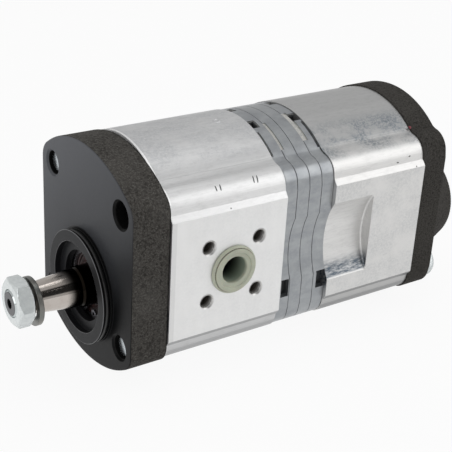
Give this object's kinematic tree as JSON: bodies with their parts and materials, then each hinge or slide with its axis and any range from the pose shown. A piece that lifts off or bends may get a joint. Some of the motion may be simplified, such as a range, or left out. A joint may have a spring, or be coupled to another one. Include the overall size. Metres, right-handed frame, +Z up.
{
  "type": "tandem gear pump",
  "caption": "Tandem external gear pump: cast flange with round pilot and tapered shaft, two aluminium bodies, plates between them and a cast rear cover.",
  "frame": {"origin": "on the drive axis, at the flange's mounting face, at the foot of the pilot", "axes": "+X runs back through the pump along the drive axis, -Y is the side with the front pressure port, +Z is up towards the driven gears"},
  "size_m": [0.2295, 0.086, 0.102],
  "materials": {
    "flange_cast": "machined face, dark phosphate coating",
    "cover_cast": "rough casting, dark phosphate coating",
    "body_aluminium": "extruded, milled on the port pads",
    "plate_aluminium": "satin",
    "block_aluminium": "turned",
    "shaft_steel": "ground",
    "gear_steel": "ground",
    "zinc_steel": "bright zinc plated",
    "spring_steel": "dark phosphate coating",
    "bearing_bronze": "satin",
    "black_rubber": "smooth",
    "brown_rubber": "smooth",
    "plug_plastic": "moulded"
  },
  "bodies": {
    "pump_body": {"front_flange": "flange_cast", "pilot_o_ring": "black_rubber", "shaft_seal": "brown_rubber", "seal_circlip": "spring_steel", "front_block_a": "block_aluminium", "front_block_b": "block_aluminium", "front_bushes": "bearing_bronze", "front_pressure_seals": "brown_rubber", "front_body": "body_aluminium", "front_pressure_plug": "plug_plastic", "front_suction_plug": "plug_plastic", "flange_seal": "black_rubber", "front_plate_seal": "black_rubber", "intermediate_plate_1": "plate_aluminium", "intermediate_plate_2": "plate_aluminium", "intermediate_plate_3": "plate_aluminium", "intermediate_plate_4": "plate_aluminium", "rear_plate_seal": "black_rubber", "rear_block_a": "block_aluminium", "rear_block_b": "block_aluminium", "rear_bushes": "bearing_bronze", "rear_pressure_seals": "brown_rubber", "rear_body": "body_aluminium", "rear_suction_plug": "plug_plastic", "cover_seal": "black_rubber", "rear_cover": "cover_cast", "rear_pressure_plug": "plug_plastic", "through_bolts": "zinc_steel", "dowel_pins": "gear_steel"},
    "drive_shaft": {"drive_shaft": "shaft_steel", "woodruff_key": "gear_steel", "lock_washer": "spring_steel", "shaft_nut": "zinc_steel"},
    "front_driven_gear": {"front_driven_gear": "gear_steel"},
    "shaft_coupler": {"shaft_coupler": "gear_steel"},
    "rear_drive_gear": {"rear_drive_gear": "gear_steel"},
    "rear_driven_gear": {"rear_driven_gear": "gear_steel"}
  },
  "joints": [
    {"name": "drive_shaft_spin", "type": "hinge", "parent": "pump_body", "child": "drive_shaft", "pos_m": [0, 0, 0], "axis": [1, 0, 0], "continuous": true},
    {"name": "front_driven_gear_spin", "type": "hinge", "parent": "pump_body", "child": "front_driven_gear", "pos_m": [0.0452, 0, 0.03], "axis": [1, 0, 0], "continuous": true},
    {"name": "shaft_coupler_spin", "type": "hinge", "parent": "pump_body", "child": "shaft_coupler", "pos_m": [0.08635, 0, 0], "axis": [1, 0, 0], "continuous": true},
    {"name": "rear_drive_gear_spin", "type": "hinge", "parent": "pump_body", "child": "rear_drive_gear", "pos_m": [0.1251, 0, 0], "axis": [1, 0, 0], "continuous": true},
    {"name": "rear_driven_gear_spin", "type": "hinge", "parent": "pump_body", "child": "rear_driven_gear", "pos_m": [0.1251, 0, 0.03], "axis": [1, 0, 0], "continuous": true}
  ],
  "couplings": [
    {"joint": "front_driven_gear_spin", "follows": "drive_shaft_spin", "ratio": -1},
    {"joint": "shaft_coupler_spin", "follows": "drive_shaft_spin", "ratio": 1},
    {"joint": "rear_drive_gear_spin", "follows": "drive_shaft_spin", "ratio": 1},
    {"joint": "rear_driven_gear_spin", "follows": "drive_shaft_spin", "ratio": -1}
  ]
}
